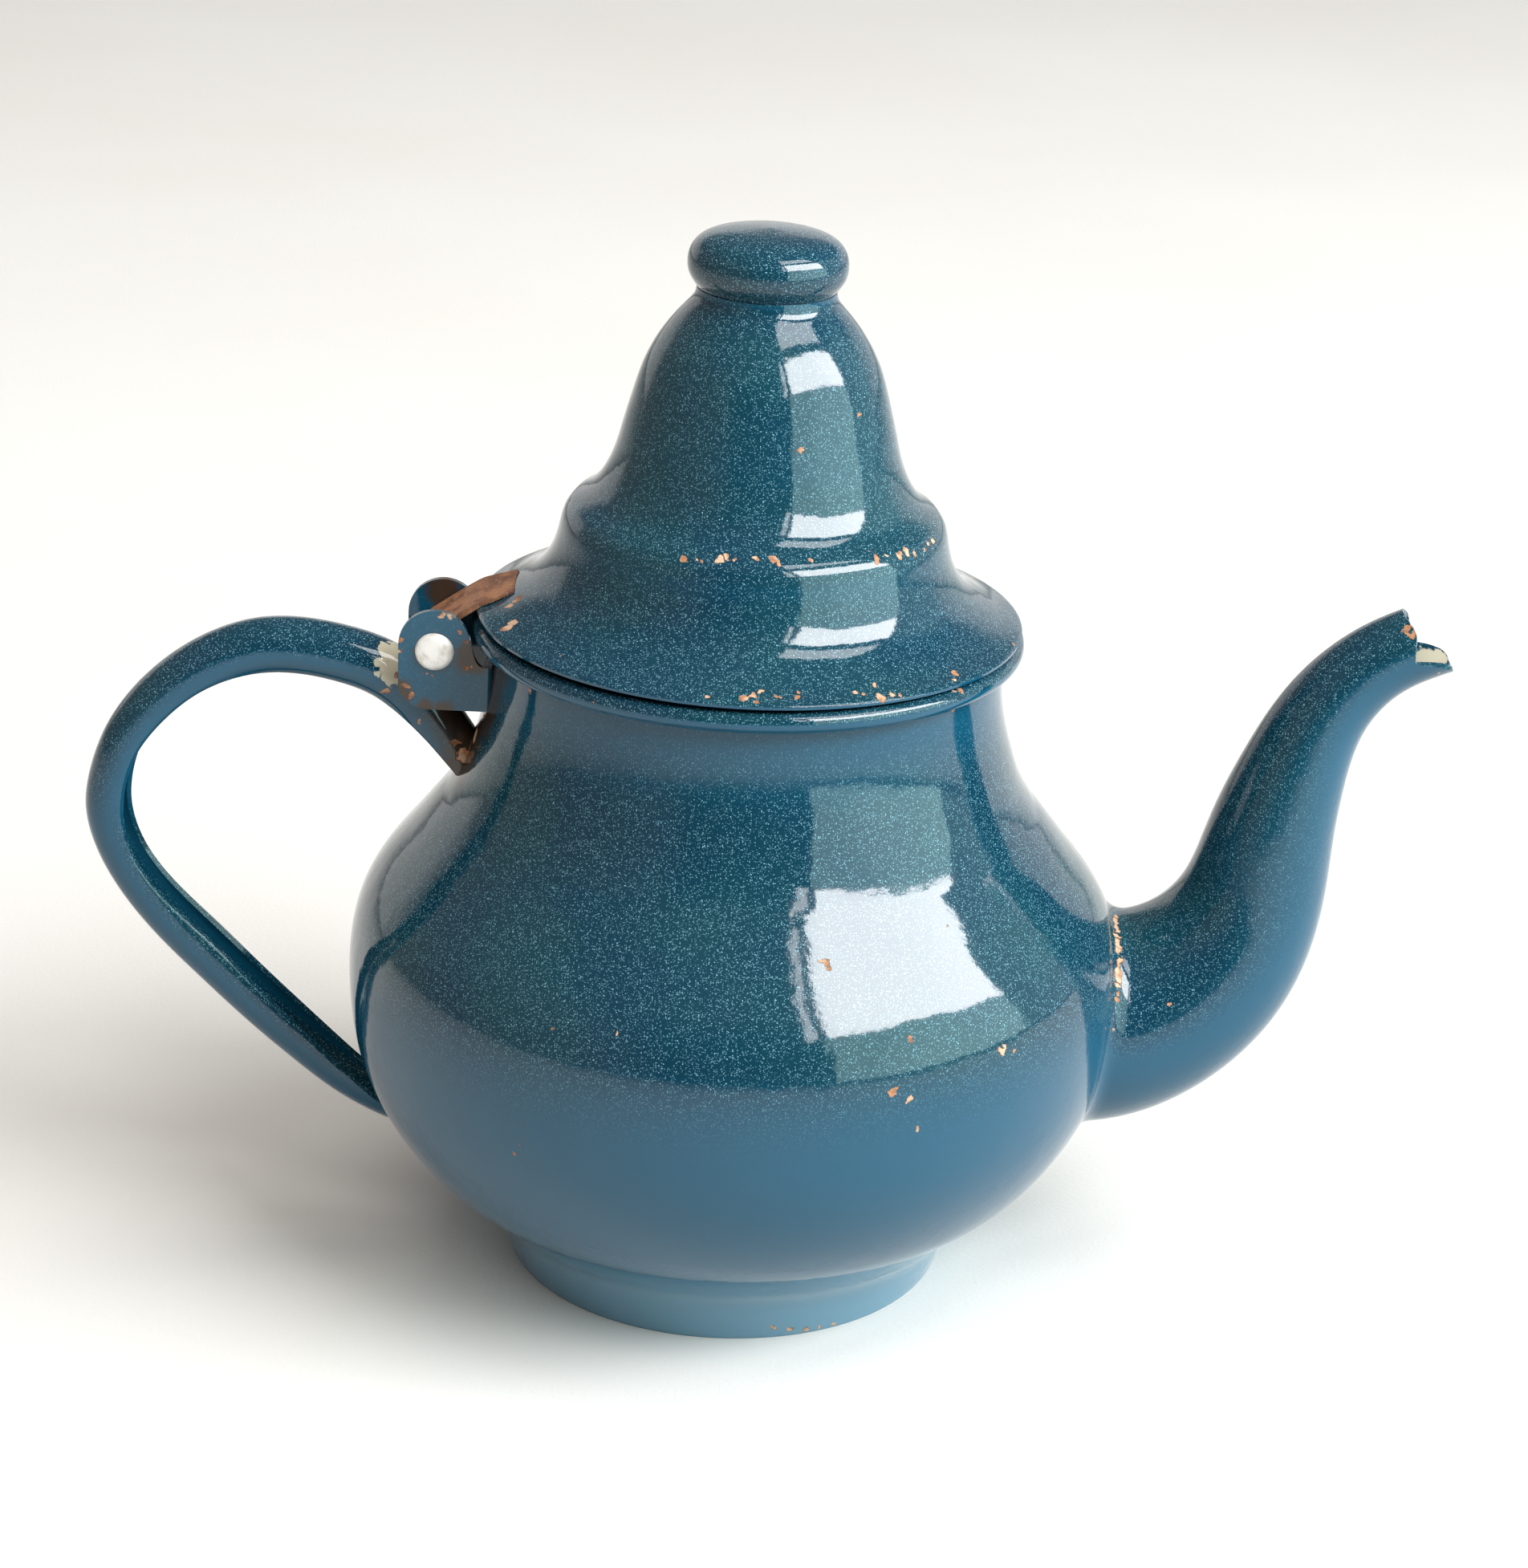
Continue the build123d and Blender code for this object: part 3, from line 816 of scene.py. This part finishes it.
def cloth_floor(name):
    n = Nodes(name)
    where = n.position()
    cloud = n.noise(where, 6, 3, 0.5)
    weave = n.node("ShaderNodeTexNoise", {"Vector": where, "Scale": 1300.0, "Detail": 2.0})
    colour = n.mix(n.step(cloud, 0.3, 0.7), (0.600, 0.582, 0.562, 1), (0.615, 0.602, 0.588, 1))
    n.put(n.shader.inputs["Base Color"], colour)
    n.shader.inputs["Roughness"].default_value = 0.95
    n.put(n.shader.inputs["Normal"], n.bump(weave.outputs["Fac"], 0.25, 0.0003))
    return n.material


def give(obj, material, body_name, nodes):
    obj.data.materials.clear()
    obj.data.materials.append(material)
    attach(obj, body_name)
    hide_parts(*nodes)


# Flaked spots: (x, y, z, radius) in millimetres.
POT_CHIPS = [
    (12.7, -46.5, 67.2, 0.70), (13.3, -46.9, 66.5, 0.50), (12.0, -46.4, 67.5, 0.35),
    (24.9, -49.1, 57.5, 0.45), (22.8, -52.3, 50.7, 0.75), (23.3, -52.0, 51.4, 0.50),
    (25.2, -51.4, 49.4, 0.65), (26.7, -50.8, 44.7, 0.40), (37.9, -42.0, 53.1, 0.65),
    (38.4, -41.5, 53.6, 0.40), (40.0, -40.4, 52.2, 0.30), (29.5, -36.1, 69.1, 0.25),
    (-24.1, -49.9, 56.8, 0.25), (-15.1, -52.6, 58.1, 0.30), (-29.3, -48.6, 36.9, 0.45),
    (-28.3, -49.3, 38.3, 0.30), (-9.2, -51.0, 62.6, 0.25), (29.2, -22.8, 96.2, 0.35),
    (20.8, -30.6, 96.8, 0.35), (-30.2, -21.4, 95.6, 0.40), (29.8, -25.2, 99.4, 0.75),
    (28.9, -26.0, 99.8, 0.45), (-20.2, -33.6, 99.2, 0.40), (8.4, -32.3, 2.0, 0.50),
    (10.7, -31.3, 1.3, 0.60), (12.9, -30.3, 0.8, 0.55), (15.0, -29.3, 0.8, 0.50),
    (17.2, -28.2, 0.7, 0.40), (-39.4, -4.5, 82.0, 1.30), (-38.4, -6.5, 86.0, 0.90),
    (-40.2, -3.0, 79.5, 1.20), (22.0, 50.5, 50.0, 0.55), (-31.0, 43.0, 62.0, 0.60),
    (-8.0, 56.3, 40.0, 0.45), (40.5, 36.0, 58.0, 0.35), (-50.0, 26.5, 48.0, 0.50),
]
SPOUT_CHIPS = [
    (60.4, -15.0, 47.0, 0.65), (59.7, -15.3, 45.6, 0.55), (58.4, -15.6, 45.9, 0.40),
    (64.4, -13.2, 48.3, 0.35), (58.9, -11.6, 57.5, 0.30), (60.6, -14.3, 48.3, 0.45),
    (59.8, -14.3, 49.1, 0.40), (58.9, -13.9, 50.3, 0.40), (57.0, 2.0, 59.3, 0.60),
    (59.5, -2.0, 60.2, 0.55), (61.5, -1.5, 61.6, 0.40), (60.5, 1.0, 60.9, 0.45),
]
LIP_CHIPS = [(101.9, -1.6, 98.0, 0.6), (102.5, 0.4, 97.4, 0.7), (99.6, -3.6, 98.4, 0.35)]
LIP_PALE = [(98.6, 3.4, 97.6, 2.0), (100.4, 2.6, 97.4, 2.0), (101.6, 1.6, 97.3, 1.5), (99.4, 0.6, 96.9, 1.5)]
HANDLE_PALE = [
    (-52.7, -3.0, 91.5, 1.90), (-52.2, -2.0, 93.0, 1.90), (-51.4, -3.9, 90.0, 1.50),
    (-50.6, -1.0, 94.0, 1.80), (-50.2, -3.0, 91.8, 1.90),
]
HANDLE_CHIPS = [
    (-52.1, -4.3, 88.1, 0.60), (-52.7, -4.4, 87.6, 0.50), (-50.4, -4.0, 90.6, 0.50),
    (-47.1, -4.2, 83.9, 0.45), (-67.1, -3.5, 30.9, 0.40), (-85.6, -3.0, 49.2, 0.30),
    (-40.8, -4.0, 78.5, 1.10), (-42.0, -4.2, 80.5, 0.70), (-41.0, 3.5, 79.0, 0.90),
    (-50.5, 2.8, 92.8, 0.60), (-88.0, 3.4, 84.0, 0.35),
]
EAR_CHIPS = [
    (-43.7, -7.8, 101.2, 0.45), (-42.8, -7.8, 101.0, 0.40), (-41.2, -7.8, 98.9, 0.40),
    (-40.4, -7.8, 97.5, 0.35), (-49.9, -7.8, 95.6, 0.45), (-49.0, -7.8, 90.2, 0.50),
    (-48.3, -7.8, 88.9, 0.50), (-40.4, -7.8, 93.6, 0.45), (-39.6, -7.8, 93.5, 0.40),
    (-46.2, -7.8, 92.1, 0.25), (-45.2, -7.8, 91.9, 0.22), (-49.8, -7.8, 97.5, 0.40),
    (-47.0, 7.8, 88.0, 0.50), (-41.0, 7.8, 99.0, 0.45), (-49.7, 7.8, 94.0, 0.45),
]
LID_CHIPS = [
    (-9.3, -24.8, 117.1, 0.50), (-7.5, -25.1, 117.4, 0.35), (-4.3, -25.6, 117.6, 0.60),
    (-3.3, -25.2, 117.9, 0.50), (-2.0, -25.7, 117.7, 0.35), (0.5, -25.5, 117.9, 0.50),
    (3.0, -25.3, 117.8, 0.70), (3.8, -25.9, 117.4, 0.50), (8.2, -24.7, 117.5, 0.45),
    (17.4, -20.2, 116.9, 0.60), (16.8, -19.8, 117.5, 0.35), (20.7, -17.2, 116.6, 0.60),
    (21.6, -15.7, 116.9, 0.70), (22.8, -14.8, 116.2, 0.50), (24.2, -12.2, 116.3, 0.40),
    (25.4, -9.2, 116.5, 0.60), (24.9, -10.9, 116.2, 0.35), (13.7, -11.4, 135.0, 0.45),
    (6.3, -17.9, 131.2, 0.45), (-6.7, -25.5, 117.2, 0.30), (18.8, -19.0, 116.9, 0.40),
    (-5.2, -37.9, 102.0, 0.45), (0.0, -38.0, 102.1, 0.80), (1.1, -37.3, 102.3, 0.60),
    (1.7, -38.7, 101.8, 0.50), (2.4, -36.6, 102.6, 0.40), (4.4, -37.3, 102.2, 0.45),
    (7.0, -37.1, 102.2, 0.50), (7.3, -36.0, 102.6, 0.35), (15.1, -34.2, 102.3, 0.50),
    (16.4, -34.4, 102.0, 0.45), (17.7, -31.9, 102.7, 0.50), (18.6, -34.0, 101.5, 0.70),
    (20.0, -33.2, 101.4, 0.60), (21.4, -32.3, 101.3, 0.50), (29.0, -23.8, 102.3, 0.80),
    (29.1, -25.5, 101.8, 0.40), (28.4, -23.4, 102.6, 0.35), (37.8, -9.0, 101.6, 0.35),
    (-25.5, -26.6, 102.5, 0.40), (-34.2, -9.0, 103.9, 0.85), (-33.2, -8.2, 104.4, 0.70),
    (-33.2, -14.4, 102.9, 0.90), (-34.0, -15.4, 102.3, 0.85), (10.0, 24.0, 117.5, 0.60),
    (11.6, 23.3, 117.6, 0.40), (-12.0, 23.0, 117.5, 0.50), (12.0, 36.3, 101.9, 0.70),
    (-20.0, 32.7, 101.9, 0.60), (-22.0, 31.3, 102.1, 0.45), (33.0, 19.0, 101.8, 0.50),
]


WORN_RING_CENTRE = (94.4, -4.5, 104.9)
WORN_RING_RADIUS = 1.05
WORN_RING_WIDTH = 0.30


def seam_rust(first, last, size):
    """Rust along part of the spout's seam, between two sides counted from the top."""
    return [tuple(seams[k][1] + np.array([0.4, 0, 0.1])) + (size,) for k in range(first, last)]


def mouth_edge(n, where):
    """Distance measure that bares the upper edge of the mouth as a worn ring."""
    gap = n.vector("DISTANCE", where, [MM * c for c in WORN_RING_CENTRE])
    away = n.math("ABSOLUTE", n.math("SUBTRACT", gap.outputs["Value"], WORN_RING_RADIUS * MM))
    return n.math("DIVIDE", away, WORN_RING_WIDTH * MM)


SEAM_CHIPS = seam_rust(80, 96, 0.72) + seam_rust(76, 79, 0.35)
# On the neck round the handle's root and under the hinge ears: partly rust, partly painted shade.
NECK_RUST_AND_SHADE = [
    (-38.0, -3.0, 84.0, 10.0), (-37.0, -7.5, 90.0, 9.0), (-35.0, -11.0, 95.5, 6.5), (-40.0, -5.0, 78.5, 7.0),
]
# On the handle's root: partly rust, partly painted shade where it meets the neck.
HANDLE_RUST_AND_SHADE = [(-39.5, -3.0, 79.0, 8.0), (-42.5, -1.5, 84.0, 6.0), (-46.5, -1.0, 88.0, 4.5)]
# On the hinge ears and the web between them: rust along the ears' edges, and painted shade on the far ear
# and the web.
EAR_RUST_AND_SHADE = [
    (-50.2, -7.8, 89.5, 3.4), (-39.6, -7.8, 95.0, 3.6), (-43.5, -7.8, 86.6, 2.6), (-39.0, 0.0, 91.0, 8.0),
    (-46.0, -7.8, 87.0, 2.2), (-44.9, -7.8, 95.8, 3.9), (-45.0, 7.0, 100.0, 4.0),
]
body_look = enamel("enamel_body", POT_CHIPS + SEAM_CHIPS, rust_and_shade=NECK_RUST_AND_SHADE)
spout_look = enamel("enamel_spout", SPOUT_CHIPS + LIP_CHIPS + SEAM_CHIPS, mouth_edge, pale=LIP_PALE)
give(body, body_look, "pot", ["body_shell"])
give(spout, spout_look, "pot", ["spout"])
handle_look = enamel("enamel_handle", HANDLE_CHIPS, pale=HANDLE_PALE, rust_and_shade=HANDLE_RUST_AND_SHADE)
give(handle, handle_look, "pot", ["handle"])
bracket_look = enamel("enamel_bracket", EAR_CHIPS, rust_and_shade=EAR_RUST_AND_SHADE)
give(bracket, bracket_look, "pot", ["hinge_bracket"])
give(rivet, worn_aluminium("rivet"), "pot", ["hinge_rivet"])
give(lid, enamel("enamel_lid", LID_CHIPS), "lid", ["lid_shell"])
give(knob, enamel("enamel_knob", glints_only_facing_up=False), "lid", ["lid_knob"])
give(strap, rusty_steel("strap"), "lid", ["lid_hinge_strap"])
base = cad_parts["base_plate"]
base.data.materials.clear()
base.data.materials.append(enamel("enamel_base"))

# ---- surroundings -------------------------------------------------------------------------
FLOOR_HALF = 3.0
floor_mesh = bpy.data.meshes.new("floor")
floor_signs = [(-1, -1), (1, -1), (1, 1), (-1, 1)]
floor_corners = [(x * FLOOR_HALF, y * FLOOR_HALF, 0) for x, y in floor_signs]
floor_mesh.from_pydata(floor_corners, [], [(0, 1, 2, 3)])
floor = bpy.data.objects.new("floor", floor_mesh)
bpy.context.scene.collection.objects.link(floor)
floor.data.materials.append(cloth_floor("floor_cloth"))


# A tall window stands to the right of the camera.  Angles are seen from the pot: azimuth is
# turned from the camera's side toward +X, and elevation is above the table.
POT_HEIGHT = 0.10
WINDOW_AWAY = 0.9
WINDOW_AZIMUTH = 40.0
NEAR_SIDE = -9.0
FAR_SIDE = 51.0
SILL = -4.0
TRANSOM = 30.5
TOP = 51.5
UPPER_LOW = 57.5
UPPER_TOP = 70.0
SKY_COLOUR = (0.97, 0.985, 1.0)


def area_light(name, width, height, power, colour, place):
    """A rectangular light that the camera doesn't see.  It faces straight down."""
    data = bpy.data.lights.new(name, "AREA")
    data.shape = "RECTANGLE"
    data.size = width
    data.size_y = height
    data.energy = power
    data.color = colour
    obj = bpy.data.objects.new(name, data)
    bpy.context.scene.collection.objects.link(obj)
    obj.location = place
    obj.visible_camera = False
    return obj


def pane(name, side_low, side_high, low, high, radiance, colour):
    """A glowing upright rectangle in the window's plane, between angles in degrees."""
    left = WINDOW_AWAY * math.tan(math.radians(side_low))
    right_end = WINDOW_AWAY * math.tan(math.radians(side_high))
    bottom = POT_HEIGHT + WINDOW_AWAY * math.tan(math.radians(low))
    top = POT_HEIGHT + WINDOW_AWAY * math.tan(math.radians(high))
    azimuth = math.radians(WINDOW_AZIMUTH)
    out_dir = Vector((math.sin(azimuth), -math.cos(azimuth), 0))
    side_dir = Vector((math.cos(azimuth), math.sin(azimuth), 0))
    width = right_end - left
    height = top - bottom
    place = WINDOW_AWAY * out_dir + side_dir * (left + right_end) / 2
    place.z = (bottom + top) / 2
    glow = area_light(name, width, height, radiance * math.pi * width * height, colour, place)
    glow.rotation_euler = (-out_dir).to_track_quat("-Z", "Y").to_euler()


pane("sky", NEAR_SIDE, FAR_SIDE, TRANSOM, TOP, 17.5, SKY_COLOUR)
pane("sky_upper", NEAR_SIDE, FAR_SIDE, UPPER_LOW, UPPER_TOP, 7.0, SKY_COLOUR)
pane("garden", NEAR_SIDE - 2, FAR_SIDE, SILL, TRANSOM - 0.5, 2.9, (0.68, 1.0, 0.96))
pane("next_window", -16.0, -12.5, TRANSOM, TOP, 8.0, SKY_COLOUR)

ceiling = area_light("ceiling", 1.7, 1.4, 17.0, (1.0, 0.94, 0.87), (0.0, 0.4, 2.0))
ceiling.visible_glossy = False

# Light from the wall behind the camera, which opens up the shadow beside the foot.
fill = area_light("room_fill", 1.0, 1.0, 12.0, (1.0, 0.95, 0.89), (-0.3, -1.1, 1.5))
fill.rotation_euler = fill.location.to_track_quat("Z", "Y").to_euler()
fill.visible_glossy = False

world = bpy.data.worlds.new("room")
bpy.context.scene.world = world
world.use_nodes = True
tree = world.node_tree
background = tree.nodes["Background"]
direction = tree.nodes.new("ShaderNodeTexCoord")
axes = tree.nodes.new("ShaderNodeSeparateXYZ")
tree.links.new(direction.outputs["Generated"], axes.inputs[0])


def toward(axis, start, full, under, colour):
    """The colour under it, changed to another where the direction's axis passes from start to full."""
    ramp = tree.nodes.new("ShaderNodeMapRange")
    ramp.interpolation_type = "SMOOTHSTEP"
    ramp.inputs["From Min"].default_value = start
    ramp.inputs["From Max"].default_value = full
    tree.links.new(axes.outputs[axis], ramp.inputs["Value"])
    blend = tree.nodes.new("ShaderNodeMix")
    blend.data_type = "RGBA"
    tree.links.new(ramp.outputs["Result"], blend.inputs[0])
    for socket, value in ((blend.inputs[6], under), (blend.inputs[7], colour)):
        if isinstance(value, bpy.types.NodeSocket):
            tree.links.new(value, socket)
        else:
            socket.default_value = value
    return blend.outputs[2]


room = toward(0, -0.25, -0.6, (0.07, 0.07, 0.07, 1), (0.30, 0.275, 0.25, 1))
room = toward(0, 0.62, 0.86, room, (0.72, 0.92, 0.92, 1))
far_wall = toward(2, 0.24, 0.42, (1.0, 0.97, 0.94, 1), (0.22, 0.215, 0.21, 1))
room = toward(1, 0.50, 0.66, room, far_wall)
room = toward(2, 0.55, 0.75, room, (0.20, 0.19, 0.18, 1))
path = tree.nodes.new("ShaderNodeLightPath")
seen = tree.nodes.new("ShaderNodeMix")
seen.data_type = "RGBA"
seen.inputs[7].default_value = (0.84, 0.82, 0.80, 1)
tree.links.new(path.outputs["Is Camera Ray"], seen.inputs[0])
tree.links.new(room, seen.inputs[6])
tree.links.new(seen.outputs[2], background.inputs[0])

# ---- camera -------------------------------------------------------------------------------
ELEVATION = math.radians(21.55)
ROLL = math.radians(2.63)
DISTANCE = 0.576
AIM = Vector((0.00319, 0, 0.07468))
SENSOR_WIDTH = 36
FOCAL_LENGTH = 89.82
ahead = Vector((0, math.cos(ELEVATION), -math.sin(ELEVATION)))
right = Vector((1, 0, 0))
up = right.cross(ahead)
across = math.cos(ROLL) * right + math.sin(ROLL) * up
upright = -math.sin(ROLL) * right + math.cos(ROLL) * up
camera_data = bpy.data.cameras.new("camera")
camera_data.sensor_width = SENSOR_WIDTH
camera_data.lens = FOCAL_LENGTH
camera_data.dof.use_dof = False
camera = bpy.data.objects.new("camera", camera_data)
bpy.context.scene.collection.objects.link(camera)
turn = Matrix((across, upright, -ahead)).transposed().to_4x4()
camera.matrix_world = Matrix.Translation(AIM - DISTANCE * ahead) @ turn
bpy.context.scene.camera = camera
bpy.context.scene.view_settings.view_transform = "Standard"

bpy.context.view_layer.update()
